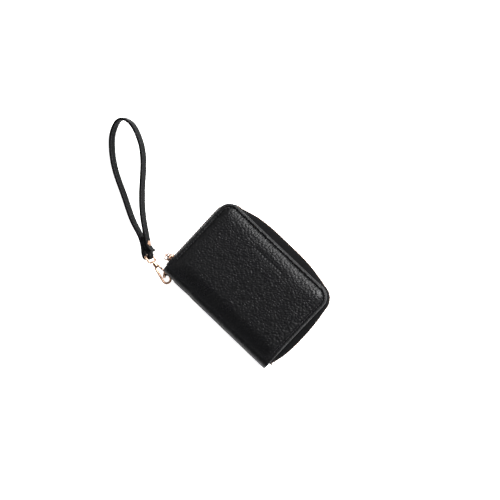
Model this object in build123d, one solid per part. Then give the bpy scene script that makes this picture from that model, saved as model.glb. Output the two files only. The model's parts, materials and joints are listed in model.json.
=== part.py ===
from build123d import *
import math
import os

# Zip-around wristlet wallet, lying on its back cover. Millimetres, +Z up through the front cover.
# Origin: centre of the flat back face. +X runs along the spine, +Y from the spine to the long zip side.
# The strap and its snap hook hang from the spine's -X end.

# Driving dimensions
LENGTH = 140.0          # cover size along the spine
DEPTH = 99.0            # from the spine's outer face to the long rim
THICK = 22.0            # over the rims
CORNER_R = 13.0         # cover corners beside the zip
LEATHER = 1.3
BOARD = 1.0
LINING = 0.5
CARD_STACK = 1.2        # card panel thickness
SPINE_FLAP_Y = -33.0    # where the spine leather ends on each cover
SPINE_SPLIT = 0.3       # gap between the spine's two halves, at the line where it bends
ROLL_Y = -41.0          # where the covers start to roll over the spine
HALF_X = LENGTH / 2
HALF_Y = DEPTH / 2
MID_Z = THICK / 2

# Zip
SIDE_BULGE = (1.8, 7.0, 7.0)    # how far the chain stands out past the -X, +Y and +X rims
TAPE = 0.8
TAPE_END_Y = -41.0
CHAIN_GAP = 1.4                 # between the two tooth rows, where the slider's neck runs
BEAD_W = 2.0
BEAD_H = 1.1
SLIDER_Y = -34.0
SLIDER_LENGTH = 8.6
SLIDER_WIDTH = 9.2
SLIDER_INNER_WIDTH = 6.0        # the inner plate is narrower, clear of the leaning tapes
PLATE = 1.3
LINK_LENGTH = 3.2
LINK_LEAN = 45.0
PULL_RING_R = 3.65
PULL_RING_TILT = 49.0           # the ring's slope, rising toward the cover

# Coin pocket, down the middle
COIN_X = (-60.0, 62.0)
COIN_Y = (-42.0, 37.0)
COIN_THICK = 5.5
PANEL = 0.6

# Snap hook and rings
HOOK_AT = (-77.7, -50.3, 12.0)  # middle of the hook's crosspiece
HOOK_TURN = -8.0                # plan direction of the hook's axis
HOOK_NECK = 2.0                 # half width at the crosspiece
HOOK_HALF_W = 4.0               # half width at the nose
HOOK_LENGTH = 20.0
HOOK_WIRE = 1.15
GATE_PIN_X = 2.6
WIRE = 1.0
D_RING_AT = (-67.5, -49.1, 6.9)
D_RING_TURN = -58.5             # direction of its straight bar in plan
D_RING_WIRE = 0.8
D_RING_HALF = 4.9
D_RING_HEIGHT = 8.6
BAR_X = -14.5                   # the swivel ring's bar, from the hook's crosspiece
RING_HALF_W = 7.2

# Wrist strap
STRAP_WIDTH = 10.0
STRAP_THICK = 2.4
STRAP_DIRECTION = 144.4         # plan direction of the loop's long axis
STRAP_ROLL = 17.0               # how far the loop leans over
STRAP_SAMPLES = 140
RIVET_U = 11.4                  # the rivet, from the ring's bar along the loop

parts = {}


def slab(face, low, high):
    """A flat layer of the given outline between two heights."""
    return extrude(Pos(0, 0, low) * face, amount=high - low)


def cover_outline(inset=0.0, spine_edge=ROLL_Y):
    """Cover outline: straight at the spine edge, rounded at the zip corners."""
    right = HALF_X - inset
    top = HALF_Y - inset
    radius = CORNER_R - inset
    outline = Polyline((-right, spine_edge), (right, spine_edge), (right, top), (-right, top), close=True)
    face = make_face(outline)
    return fillet(face.vertices().group_by(Axis.Y)[-1], radius)


def zip_outline(spread, inset=0.0):
    """Outline of the tapes: spread 0 is where they are sewn under the rims, 1 is out at the chain."""

    def point(side, sewn, chain):
        x = sewn[0] + (chain[0] - sewn[0]) * spread
        y = sewn[1] + (chain[1] - sewn[1]) * spread
        return (side[0] * (x - inset * abs(side[0])), y - inset * side[1])

    left, top, right = SIDE_BULGE
    low = ROLL_Y - 5.0
    sewn_x = HALF_X - 1.0
    sewn_y = HALF_Y - 1.0
    lean = math.sqrt(0.5)
    a = point((-1, 0), (sewn_x, low), (HALF_X + left, low))
    b = point((-1, 0), (sewn_x, HALF_Y - 15), (HALF_X + left, HALF_Y - 15))
    corner_left = point((-lean, lean), (HALF_X - 4.4, HALF_Y - 4.4), (HALF_X - 4.5, HALF_Y - 4.5))
    corner_left = (corner_left[0] / lean, corner_left[1])
    c = point((-1, 1), (HALF_X - 14, sewn_y), (HALF_X - 14, HALF_Y))
    rise = point((-1, 1), (HALF_X - 34, sewn_y), (HALF_X - 34, HALF_Y + 5.2))
    middle = point((0, 1), (0, sewn_y + 0.2), (0, HALF_Y + top))
    fall = point((1, 1), (HALF_X - 34, sewn_y), (HALF_X - 34, HALF_Y + 5.6))
    d = point((1, 1), (HALF_X - 13, sewn_y), (HALF_X - 12, HALF_Y + 1.4))
    corner_right = point((lean, lean), (HALF_X - 4.4, HALF_Y - 4.4), (HALF_X - 2.2, HALF_Y - 2.6))
    corner_right = (corner_right[0] / lean, corner_right[1])
    e = point((1, 0), (sewn_x, HALF_Y - 14), (HALF_X + 1.6, HALF_Y - 14))
    side = point((1, 0), (sewn_x + 0.2, 0), (HALF_X + right, 0))
    f = point((1, 0), (sewn_x, low), (HALF_X + 1.6, low))
    edges = [
        Line(a, b),
        ThreePointArc(b, corner_left, c),
        Spline(c, rise, middle, fall, d),
        ThreePointArc(d, corner_right, e),
        ThreePointArc(e, side, f),
        Line(f, a),
    ]
    return make_face(Wire(edges))


def behind(low_y):
    """A block covering everything on the spine side of low_y."""
    return Pos(0, low_y - 50, MID_Z) * Box(400, 100, 100)


def torus_link(straight, radius, section):
    """A stadium-shaped wire link in the XZ plane, upright, its lower arc's centre at the origin."""
    lower = Rot(90, 0, 0) * Torus(radius, section)
    upper = Pos(0, 0, straight) * lower
    below = Pos(0, 0, -50) * Box(100, 100, 100)
    above = Pos(0, 0, 50) * Box(100, 100, 100)
    link = (lower & below) + (upper & (Pos(0, 0, straight) * above))
    for side in (-1, 1):
        link += Pos(side * radius, 0, straight / 2) * Cylinder(section, straight)
    return link


# Covers
def cover_layers():
    """Leather, stiff board and lining of each cover; the front also has a soft pad."""
    parts["back_cover_leather"] = slab(cover_outline(0, SPINE_FLAP_Y), 0, LEATHER)
    z = LEATHER
    parts["back_board"] = slab(cover_outline(2.5), z, z + BOARD)
    parts["back_lining"] = slab(cover_outline(1.0), z + BOARD, z + BOARD + LINING)
    top = THICK - LEATHER
    rim = 5.0
    plate = slab(cover_outline(0, SPINE_FLAP_Y), top, THICK)
    panel = slab(cover_outline(rim, SPINE_FLAP_Y), THICK, THICK + 0.8)
    hollow = slab(cover_outline(rim + 1.4, SPINE_FLAP_Y + 2.0), top, THICK - 0.4)
    parts["front_cover_leather"] = plate + panel - hollow
    parts["front_padding"] = hollow
    parts["front_board"] = slab(cover_outline(2.5), top - BOARD, top)
    parts["front_lining"] = slab(cover_outline(1.0), top - BOARD - LINING, top - BOARD)


def card_panels():
    """Three overlapping card pockets on each lining, stepped toward the spine."""
    width = 96.0
    step = 10.0
    base_z = LEATHER + BOARD + LINING
    layer = CARD_STACK / 4
    edge = 34.0
    stack = Pos(0, (edge + ROLL_Y + 4) / 2, base_z + layer / 2) * Box(width, edge - ROLL_Y - 4, layer)
    for i in range(3):
        top_y = edge - 6 - i * step
        low_y = ROLL_Y + 4
        z = base_z + layer * (i + 1) + layer / 2
        stack += Pos(0, (top_y + low_y) / 2, z) * Box(width, top_y - low_y, layer)
    parts["card_panel_back"] = stack
    parts["card_panel_front"] = mirror(stack, about=Plane((0, 0, MID_Z), z_dir=(0, 0, 1)))


def spine():
    """Leather wrapped round the spine with a flap on each cover, and its lining."""
    run = ROLL_Y + HALF_Y
    ahead = Pos(0, 50, 0) * Box(400, 100, 100)

    def roll(inset):
        section = Plane.YZ * Ellipse(run - inset, MID_Z - inset)
        return extrude(section, amount=HALF_X - inset, both=True)

    inner = Plane.YZ * Ellipse(run - LEATHER, MID_Z - LEATHER)
    shell = roll(0) - extrude(inner, amount=HALF_X + 1, both=True)
    shell -= ahead
    flap = Box(LENGTH, SPINE_FLAP_Y - ROLL_Y, LEATHER)
    flap_y = (SPINE_FLAP_Y - ROLL_Y) / 2
    for side in (-1, 1):
        shell += Pos(0, flap_y, side * (MID_Z - LEATHER / 2)) * flap
    shell -= Pos(-HALF_X, 0, 0.2) * Box(34, 40, 13.6)
    inset = LEATHER + 0.05
    lining = roll(inset) - roll(inset + LINING) - ahead
    lining &= Box(LENGTH - 36, 100, 100)
    for node, layer in (("spine_leather", shell), ("spine_lining", lining)):
        for half, side in (("back", -1), ("front", 1)):
            keep = Pos(0, 0, side * (25 + SPINE_SPLIT / 2)) * Box(400, 100, 50)
            parts[f"{node}_{half}"] = Pos(0, ROLL_Y, MID_Z) * (layer & keep)


# Main zip
def main_zip():
    """Two tapes fanning out from under the rims to the tooth rows, mirrored about the middle."""
    foot = LEATHER + BOARD + LINING
    z = MID_Z - CHAIN_GAP / 2 - BEAD_H
    bead_out = zip_outline(1, -(BEAD_W - TAPE) / 2)
    bead_in = zip_outline(1, (BEAD_W + TAPE) / 2)
    cut = behind(TAPE_END_Y)

    def fan(inset):
        sewn = Pos(0, 0, foot) * zip_outline(0, inset)
        chain = Pos(0, 0, z) * zip_outline(1, inset)
        return loft([sewn, chain], ruled=True)

    tape = fan(0) - fan(TAPE) - cut
    teeth = slab(bead_out - bead_in, z, z + BEAD_H) - cut
    over = Plane((0, 0, MID_Z), z_dir=(0, 0, 1))
    parts["zip_tape_back"] = tape
    parts["zip_teeth_back"] = teeth
    parts["zip_tape_front"] = mirror(tape, about=over)
    parts["zip_teeth_front"] = mirror(teeth, about=over)


def zip_stops():
    """A crimped stop on the back tape's end at each side of the spine."""
    x_left = -HALF_X - SIDE_BULGE[0] + TAPE / 2
    height = 2.4
    z = MID_Z - CHAIN_GAP / 2 - BEAD_H - height / 2
    stop = Box(BEAD_W + 0.6, 1.6, height)
    left = Pos(x_left, TAPE_END_Y - 0.8, z) * stop
    x_right = HALF_X + 2.1 - TAPE / 2
    right = Pos(x_right, TAPE_END_Y - 0.8, z) * stop
    parts["zip_stops"] = Compound([left, right])


def slider():
    """Slider with two plates joined by a neck between the tooth rows, and its bridge."""
    x_mid = -HALF_X - SIDE_BULGE[0] + TAPE / 2
    room = BEAD_W / 2 + 0.3
    body = None
    for side, width in ((-1, SLIDER_WIDTH), (1, SLIDER_INNER_WIDTH)):
        plate = Box(PLATE, SLIDER_LENGTH, width)
        plate = Pos(side * (room + PLATE / 2), 0, 0) * fillet(plate.edges().filter_by(Axis.X), 2.6)
        body = plate if body is None else body + plate
    body += Pos(0, SLIDER_LENGTH / 2 - 1.6, 0) * Box(2 * room + 0.2, 1.6, CHAIN_GAP - 0.6)
    reach = 2.0
    face_x = -room - PLATE
    low, high = -4.0, 2.6
    arch = [(face_x + 0.6, low), (face_x - reach, low), (face_x - reach, high), (face_x + 0.6, high)]
    path = FilletPolyline(*arch, radius=1.2)
    section = Plane(origin=path @ 0, z_dir=path % 0) * Circle(0.6)
    body += sweep(section, path=path)
    parts["zip_slider"] = Pos(x_mid, SLIDER_Y, MID_Z) * body
    return x_mid + face_x - reach


def pulls(arch_x):
    """Small connector link leaning out from the slider's bridge, and the round pull ring on the link."""
    link = torus_link(LINK_LENGTH, 1.4, 0.45)
    place = Pos(arch_x, SLIDER_Y - 1.2, MID_Z) * Rot(0, -LINK_LEAN, 0)
    parts["pull_link"] = place * link
    ring = Pos(PULL_RING_R, 0, 0) * Torus(PULL_RING_R, 0.55)
    parts["pull_ring"] = place * Pos(0, 0, LINK_LENGTH) * Rot(0, LINK_LEAN - PULL_RING_TILT, 0) * ring


# Coin pocket
def coin_pocket():
    """Two soft panels joined at three seams, with a zip along the side facing the long rim."""
    low_x, high_x = COIN_X
    low_y, high_y = COIN_Y
    wide = high_x - low_x
    tall = high_y - low_y
    centre = ((low_x + high_x) / 2, (low_y + high_y) / 2)
    seam = 3.0
    half = COIN_THICK / 2
    sheet = Box(wide, tall, PANEL)
    panel_z = half - PANEL / 2
    hollow = half - PANEL
    back = Pos(0, 0, -panel_z) * sheet
    border = Box(wide, tall, hollow) - Pos(0, seam, 0) * Box(wide - 2 * seam, tall, 10)
    back += Pos(0, 0, -hollow / 2) * border
    front = Pos(0, 0, panel_z) * sheet + Pos(0, 0, hollow / 2) * border
    at = Pos(centre[0], centre[1], MID_Z)
    parts["coin_panel_back"] = at * back
    parts["coin_panel_front"] = at * front
    tape_wide = wide - 2 * seam - 1
    lip = high_y - 0.4
    tape = Box(tape_wide, 6.0, 0.5)
    tapes = [Pos(centre[0], lip - 2.6, MID_Z + side * (hollow - 0.25)) * tape for side in (-1, 1)]
    parts["coin_zip_tape"] = Compound(tapes)
    row = Box(tape_wide, 1.4, 1.3)
    rows = [Pos(centre[0], lip - 0.3, MID_Z + side * (hollow - 1.15)) * row for side in (-1, 1)]
    parts["coin_zip_teeth"] = Compound(rows)
    slide = Box(7.0, 1.0, 2.4)
    slide = fillet(slide.edges().filter_by(Axis.Y), 1.0)
    neck = Box(1.2, 3.4, 0.5)
    coin_slider = Pos(0, 1.9, 0) * slide + Pos(0, -1.7, 0) * slide + Pos(2.4, 0.1, 0) * neck
    eye = Torus(1.3, 0.4)
    coin_slider += Pos(-1.0, 3.4, 0) * eye
    slider_x = low_x + 12.0
    parts["coin_zip_slider"] = Pos(slider_x, lip - 0.3, MID_Z) * coin_slider
    pull = Box(1.0, 8.0, 3.0) - Pos(0, -2.6, 0) * Box(3, 1.4, 1.4)
    pull = fillet(pull.edges().filter_by(Axis.X).group_by(Axis.Y)[-1], 1.2)
    parts["coin_zip_pull"] = Pos(slider_x - 1.0, lip + 7.0, MID_Z) * pull


# D-ring and its tab
def d_ring():
    """Wire ring standing on its straight bar, and the leather tab folded round the bar."""
    half = D_RING_HALF
    points = [(-half, 0), (half, 0), (half, D_RING_HEIGHT), (-half, D_RING_HEIGHT)]
    path = FilletPolyline(*points, radius=[1.0, 1.0, 3.6, 3.6], close=True)
    section = Plane(origin=path @ 0, z_dir=path % 0) * Circle(D_RING_WIRE)
    ring = sweep(section, path=path)
    at = Pos(*D_RING_AT) * Rot(0, 0, D_RING_TURN)
    parts["d_ring"] = at * Rot(90, 0, 0) * ring
    width = 5.6
    inner = D_RING_WIRE + 0.25
    leather = 1.2
    outer = inner + leather
    wrap = Rot(0, 90, 0) * Cylinder(outer, width)
    tail = Pos(0, 7.5, -outer + leather) * Box(width, 15, 2 * leather)
    tab = wrap + tail - Rot(0, 90, 0) * Cylinder(inner, width + 1)
    parts["d_ring_tab"] = at * tab


# Snap hook, gate and swivel ring
def hook_place():
    """Placement of the hook, its axis along X."""
    return Pos(*HOOK_AT) * Rot(0, 0, HOOK_TURN)


def snap_hook():
    """Hook lying flat: legs spreading from a barrel to a rounded nose, and a gate closing the far leg."""
    half = HOOK_HALF_W
    nose_x = HOOK_LENGTH - half - 0.5
    slope = (half - HOOK_NECK) / nose_x
    pin_y = HOOK_NECK + slope * GATE_PIN_X
    corners = [(3.0, HOOK_NECK + 3.0 * slope), (0, HOOK_NECK), (0, -HOOK_NECK), (nose_x, -half)]
    frame = FilletPolyline(*corners, radius=[1.6, 2.0])
    nose = TangentArc((nose_x, -half), (nose_x, half), tangent=(1, -slope))
    path = Wire(frame.edges() + nose.edges())
    section = Plane(origin=path @ 0, z_dir=path % 0) * Circle(HOOK_WIRE)
    body = sweep(section, path=path)
    barrel = Rot(0, 90, 0) * (Cylinder(2.3, 3.6) - Cylinder(1.25, 8))
    body += Pos(-2.4, 0, 0) * barrel
    body -= Pos(-2.0, 0, 0) * Rot(0, 90, 0) * Cylinder(1.25, 4.0)
    along_gate = Pos(GATE_PIN_X, pin_y, 0) * Rot(0, 0, math.degrees(math.atan(slope)))
    slot = Pos(1.4, 0, 0) * Box(4.4, 3.2, 1.1)
    body -= along_gate * (slot + Cylinder(0.45, 6))
    place = hook_place()
    parts["hook_body"] = place * body
    parts["gate_pin"] = place * along_gate * Cylinder(0.45, 2.0)
    tongue = Pos(1.0, 0, 0) * Box(3.2, 1.6, 0.8)
    rod_x = 2.6
    reach = nose_x - GATE_PIN_X - rod_x - 0.3
    rod = Pos(rod_x + reach / 2, 0, 0) * Rot(0, 90, 0) * Cylinder(0.75, reach)
    parts["gate"] = place * along_gate * (tongue + rod - Cylinder(0.5, 6))


def swivel_ring():
    """Wire ring standing on edge with a headed stem that turns in the hook's barrel."""
    half = RING_HALF_W
    near = -6.2
    points = [(near, -half), (BAR_X, -half), (BAR_X, half), (near, half)]
    path = FilletPolyline(*points, radius=2.0, close=True)
    section = Plane(origin=path @ 0, z_dir=path % 0) * Circle(WIRE)
    ring = Rot(90, 0, 0) * sweep(section, path=path)
    stem = Pos((near - 0.3) / 2, 0, 0) * Rot(0, 90, 0) * Cylinder(1.2, -near - 0.3 + 0.2)
    turned = ring + stem
    parts["swivel_ring"] = strap_roll_place(turned)


def strap_roll_place(shape):
    """The shape turned with the strap about the hook's axis."""
    return hook_place() * Rot(STRAP_ROLL, 0, 0) * shape


# Wrist strap
def ribbon(line, thick, samples):
    """Face of a strip of even thickness along a line in the XY plane."""
    sides = ([], [])
    for i in range(samples + 1):
        at = line @ (i / samples)
        along = line % (i / samples)
        across = Vector(-along.Y, along.X, 0) * (thick / 2)
        sides[0].append(at + across)
        sides[1].append(at - across)
    edges = [Spline(*side) for side in sides]
    edges += [Line(sides[0][end], sides[1][end]) for end in (0, -1)]
    return make_face(edges)


def strap_frame():
    """Plane with x along the loop, y across it and z across the strap's width."""
    angle = math.radians(HOOK_TURN)
    origin = (
        HOOK_AT[0] + BAR_X * math.cos(angle),
        HOOK_AT[1] + BAR_X * math.sin(angle),
        HOOK_AT[2],
    )
    along = math.radians(STRAP_DIRECTION)
    u = (math.cos(along), math.sin(along), 0)
    return Plane(origin=origin, x_dir=u, z_dir=(0, 0, 1))


def strap():
    """One strip: folded round the ring's bar, out along the loop and back under the rivet."""
    centre = [
        (19.0, 0.0), (12.0, 0.1), (8.0, -0.25), (5.6, -1.25), (2.8, -2.7), (0.0, -3.2),
        (-2.3, -2.3), (-3.2, 0.0), (-2.3, 2.3), (0.0, 3.2), (6.0, 3.0), (12.0, 2.65),
        (20.0, 3.7), (33.0, 8.0), (62.0, 13.4), (91.0, 18.0), (117.0, 16.4), (133.0, 9.6),
        (139.2, 0.6), (134.2, -8.8), (122.0, -14.4), (108.0, -16.6), (94.0, -15.4), (76.0, -10.8),
        (58.0, -6.0), (39.0, -3.1), (20.0, -2.6), (12.4, -2.6), (8.8, -2.9), (5.8, -4.4), (3.2, -6.6),
    ]
    band = strap_frame().location * Rot(-STRAP_ROLL, 0, 0) * Pos(0, 0, -STRAP_WIDTH / 2)
    line = Spline(*centre)
    strip = extrude(ribbon(line, STRAP_THICK, STRAP_SAMPLES), STRAP_WIDTH)
    reach = 1.5 * STRAP_THICK + 0.55
    post = Cylinder(1.2, 2 * reach)
    rivet_at = Pos(RIVET_U, 0, STRAP_WIDTH / 2) * Rot(90, 0, 0)
    strip -= rivet_at * Cylinder(1.25, 12)
    cap = Pos(0, 0, -4.0) * Sphere(5.0) & Pos(0, 0, 0.5) * Cylinder(2.7, 1.0)
    parts["wrist_strap"] = band * strip.solid()
    parts["strap_rivet"] = band * rivet_at * (post + Pos(0, 0, reach) * cap)
    parts["strap_rivet_cap"] = band * rivet_at * Pos(0, 0, -reach) * Rot(180, 0, 0) * cap


for build in (cover_layers, card_panels, spine, main_zip, zip_stops, coin_pocket):
    build()
for build in (d_ring, snap_hook, swivel_ring, strap):
    build()
pulls(slider())

if __name__ == "__main__":
    os.makedirs("parts", exist_ok=True)
    for name, shape in parts.items():
        export_step(shape, f"parts/{name}.step")
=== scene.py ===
import json
import math

import bmesh
import bpy
import numpy as np
from mathutils import Matrix, Vector


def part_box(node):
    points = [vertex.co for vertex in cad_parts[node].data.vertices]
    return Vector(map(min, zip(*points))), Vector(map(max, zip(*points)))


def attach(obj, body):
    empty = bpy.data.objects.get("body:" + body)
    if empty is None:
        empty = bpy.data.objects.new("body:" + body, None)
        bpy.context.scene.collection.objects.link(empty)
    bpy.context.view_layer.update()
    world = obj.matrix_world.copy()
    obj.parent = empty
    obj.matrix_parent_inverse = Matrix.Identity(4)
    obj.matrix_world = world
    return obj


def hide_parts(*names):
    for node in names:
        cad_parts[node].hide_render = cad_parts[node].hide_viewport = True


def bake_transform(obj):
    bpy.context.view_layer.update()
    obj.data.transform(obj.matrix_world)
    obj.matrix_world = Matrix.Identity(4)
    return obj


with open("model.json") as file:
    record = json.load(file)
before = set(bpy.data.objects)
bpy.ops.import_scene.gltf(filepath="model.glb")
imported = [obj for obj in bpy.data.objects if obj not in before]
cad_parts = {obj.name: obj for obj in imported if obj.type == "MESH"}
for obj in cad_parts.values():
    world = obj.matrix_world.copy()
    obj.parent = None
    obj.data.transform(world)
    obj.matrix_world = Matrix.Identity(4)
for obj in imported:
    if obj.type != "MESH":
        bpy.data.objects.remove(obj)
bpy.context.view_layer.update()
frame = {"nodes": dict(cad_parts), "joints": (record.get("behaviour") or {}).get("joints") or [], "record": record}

MM = 0.001
SHARP = math.radians(50)    # creases steeper than this stay crisp

# Places read from the CAD frame
COVER_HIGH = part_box("front_cover_leather")[1]
SPINE_LOW, SPINE_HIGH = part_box("spine_leather_front")
HALF_X = COVER_HIGH[0]
RIM_Y = COVER_HIGH[1]
TOP_Z = SPINE_HIGH[2]
MID_Z = TOP_Z / 2
SPINE_Y = SPINE_LOW[1]
ROLL_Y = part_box("spine_lining_front")[1][1]
TEETH_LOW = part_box("zip_teeth_front")[0]
TAPE_LOW, TAPE_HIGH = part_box("zip_tape_front")
JOINTS = {joint["name"]: joint for joint in frame["joints"]}

# Leather shell
CORNER_R = 13 * MM
MESH_STEP = 0.6 * MM
RIM_WIDTH = 2.9 * MM
RIM_RISE = 0.75 * MM
GROOVE = 0.6 * MM
GROOVE_SPREAD = 0.55 * MM
STITCH_INSET = 3.5 * MM
PAD_START = 4.0 * MM
PAD_RISE = 3.4 * MM
PAD_RUN = 5.0 * MM
SPINE_FADE = 16 * MM
PEBBLE = 2.0 * MM
PEBBLE_LONG = 1.7
PEBBLE_RISE = 0.5 * MM
BACK_Z = 1.0 * MM           # nominal outer plane of the back cover
# How far out and how far down, in millimetres, each row of a cover's turned edge goes
EDGE_ROWS = ((0.3, 0.35), (0.42, 0.8), (0.25, 1.3), (-0.5, 1.55))
BACK_RISE = 0.35            # the back rests flat, so its rim is lower than the front's
SHELL_THICK = 1.1 * MM
BACK_THICK = SHELL_THICK * 0.6
SPINE_OPENING = 15 * MM     # cut out of the spine's end for the D-ring
OPENING_TOP = (math.radians(38), math.radians(28))      # where the cut starts and is full, above
OPENING_FOOT = (math.radians(46), math.radians(34))     # the same, below
SPINE_TURNS = 58
EMBLEM_CENTRE = (1.5 * MM, 32.6 * MM)
EMBLEM_HALF = (1.55 * MM, 2.3 * MM)
EMBLEM_STEP = 3.4 * MM
EMBLEM_SIDE = 5             # lozenges on each side of the middle one
EMBLEM_DEPTH = 0.6 * MM

# Inside
CARD_STEP = 10 * MM
CARD_LAYER = 0.3 * MM
CARD_POCKETS = 3
COIN_HALF = 2.75 * MM
CLOTH_THICK = 0.4 * MM
PANEL_THICK = 0.45 * MM
PIPING_R = 0.85 * MM
TAB_HALF_WIDTH = 2.8 * MM
TAB_WRAP_R = 1.65 * MM      # from the middle of the D-ring's bar to the middle of the leather round it

# Zip
TOOTH_PITCH = 2.3 * MM
TOOTH_SIZE = (1.05 * MM, 2.3 * MM, 3.0 * MM)
TOOTH_HEAD = 0.8            # the head's size across the row as a share of the foot's
COIN_TOOTH = (0.8, 0.6, 0.75)   # the coin zip's teeth as shares of the main zip's
TOOTH_INSET = 0.2 * MM
TAPE_COLUMNS = 400
TAPE_LEVELS = 10
# Places along the +X side, and how far the chain stands out there, in millimetres
SHORT_SIDE = ((20, 5.4), (0, 6.4), (-20, 5.6), (-34, 3.1))
TAPE_THICK = 0.7 * MM
TAPE_END_Y = TEETH_LOW[1]

# Strap
STRAP_WIDTH = 10 * MM
STRAP_THICK = 2.4 * MM
STRAP_DIRECTION = math.radians(144.4)
STRAP_ROLL = math.radians(-17)
STRAP_SAMPLES = 460
STRAP_SEAM = 0.34           # each sewn line's distance from the middle as a share of the width
# Centre line of the strip in the strap's own plane, in millimetres from the ring's bar
STRAP_ROUTE = (
    (19.0, 0.0), (12.0, 0.1), (8.0, -0.25), (5.6, -1.25), (2.8, -2.7), (0.0, -3.2),
    (-2.3, -2.3), (-3.2, 0.0), (-2.3, 2.3), (0.0, 3.2), (6.0, 3.0), (12.0, 2.65),
    (20.0, 3.7), (33.0, 8.0), (62.0, 13.4), (91.0, 18.0), (117.0, 16.4), (133.0, 9.6),
    (139.2, 0.6), (134.2, -8.8), (122.0, -14.4), (108.0, -16.6), (94.0, -15.4), (76.0, -10.8),
    (58.0, -6.0), (39.0, -3.1), (20.0, -2.6), (12.4, -2.6), (8.8, -2.9), (5.8, -4.4), (3.2, -6.6),
)
STITCH_PITCH = 3.3 * MM
STITCH_LENGTH = 2.5 * MM
THREAD_R = 0.28 * MM

# Studio, in metres
FLOOR_HALF = 3.0
FLOOR_GLOW = 0.75
WORLD_GLOW = 0.09
VIEW_TARGET = (-20.0 * MM, 26.8 * MM, 18 * MM)
VIEW_UP = (-0.685, 0.728, 0)
VIEW_LEAN = math.radians(8)
VIEW_DISTANCE = 1.4
VIEW_WIDTH = 0.4926         # across the view at the target
SENSOR = 36                 # millimetres


# ---------------------------------------------------------------- materials
class Nodes:
    """Short helper for building one node material."""

    def __init__(self, name, rough, color=(0.5, 0.5, 0.5), metal=0.0, **fixed):
        self.mat = bpy.data.materials.new(name)
        self.mat.use_nodes = True
        self.tree = self.mat.node_tree
        self.shader = self.tree.nodes["Principled BSDF"]
        self.shader.inputs["Base Color"].default_value = (*color, 1)
        self.shader.inputs["Roughness"].default_value = rough
        self.shader.inputs["Metallic"].default_value = metal
        self.shader.inputs["Specular IOR Level"].default_value = 0.5 if metal else 0.28
        for key, value in fixed.items():
            self.shader.inputs[key.replace("_", " ")].default_value = value
        coords = self.tree.nodes.new("ShaderNodeTexCoord")
        self.place = coords.outputs["Object"]
        self.height = None

    def node(self, kind, inputs=None, **settings):
        """A new node, with each input linked to a socket or set to a value."""
        made = self.tree.nodes.new(kind)
        for key, value in settings.items():
            setattr(made, key, value)
        for key, value in (inputs or {}).items():
            if isinstance(value, bpy.types.NodeSocket):
                self.tree.links.new(value, made.inputs[key])
            else:
                made.inputs[key].default_value = value
        return made

    def link(self, out, socket):
        """Feed one of the shader's sockets."""
        self.tree.links.new(out, self.shader.inputs[socket])

    def noise(self, scale, detail=3.0, rough=0.55):
        """Noise over the object, from its own coordinates."""
        inputs = {"Vector": self.place, "Scale": scale, "Detail": detail, "Roughness": rough}
        return self.node("ShaderNodeTexNoise", inputs).outputs["Fac"]

    def ramp(self, source, low, high, start=0.0, end=1.0):
        """A value between low and high as the source goes from start to end."""
        made = self.node(
            "ShaderNodeMapRange",
            {"Value": source, "From Min": start, "From Max": end, "To Min": low, "To Max": high},
        )
        return made.outputs["Result"]

    def colors(self, source, first, second):
        """Base colour mixed from two colours by the source."""
        made = self.node("ShaderNodeMix", data_type="RGBA")
        self.tree.links.new(source, made.inputs["Factor"])
        made.inputs["A"].default_value = (*first, 1)
        made.inputs["B"].default_value = (*second, 1)
        self.link(made.outputs["Result"], "Base Color")

    def bump(self, source, strength, distance):
        """Relief added on top of any earlier bump."""
        made = self.node("ShaderNodeBump", {"Height": source, "Strength": strength, "Distance": distance})
        if self.height is not None:
            self.tree.links.new(self.height, made.inputs["Normal"])
        self.height = made.outputs["Normal"]
        self.link(self.height, "Normal")

    def times(self, a, b):
        """Product of two sockets."""
        return self.node("ShaderNodeMath", {0: a, 1: b}, operation="MULTIPLY").outputs[0]


def leather(name, dark, light, cell, grain, rough, shine):
    """Black leather: cells of grain with creases between them, pores, and worn patches; the colour is painted
    darker in the creases as shade.
    """
    m = Nodes(name, rough, Specular_IOR_Level=shine)
    warp = m.node("ShaderNodeTexNoise", {"Vector": m.place, "Scale": cell * 0.5, "Detail": 2.0})
    shift = {0: warp.outputs["Color"], "Scale": 0.6 / cell}
    spread = m.node("ShaderNodeVectorMath", shift, operation="SCALE").outputs[0]
    moved = m.node("ShaderNodeVectorMath", {0: m.place, 1: spread}, operation="ADD").outputs[0]
    cells = m.node(
        "ShaderNodeTexVoronoi", {"Vector": moved, "Scale": cell}, feature="DISTANCE_TO_EDGE"
    ).outputs["Distance"]
    plateau = m.ramp(cells, 0.0, 1.0, 0.0, 0.22)
    pores = m.noise(cell * 9, 2.0)
    wear = m.noise(60, 4.0)
    # Base colour: painted shade in the creases between grain cells, multiplied by random worn patches
    m.colors(m.ramp(m.times(plateau, wear), 0.0, 1.0, 0.1, 0.75), dark, light)
    m.link(m.ramp(m.times(plateau, wear), rough + 0.14, rough - 0.07, 0.0, 0.6), "Roughness")
    m.bump(plateau, grain, 0.00012)
    m.bump(pores, 0.16, 0.00004)
    return m.mat


def metal(name):
    """Rose-gold plating with fine brushing and softly varying polish."""
    m = Nodes(name, 0.3, (0.4, 0.24, 0.16), 1.0)
    smudge = m.noise(180, 4.0)
    m.colors(smudge, (0.3, 0.17, 0.11), (0.46, 0.3, 0.21))
    m.link(m.ramp(smudge, 0.22, 0.36, 0.3, 0.7), "Roughness")
    m.bump(m.noise(2600, 2.0), 0.05, 0.00003)
    return m.mat


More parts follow.
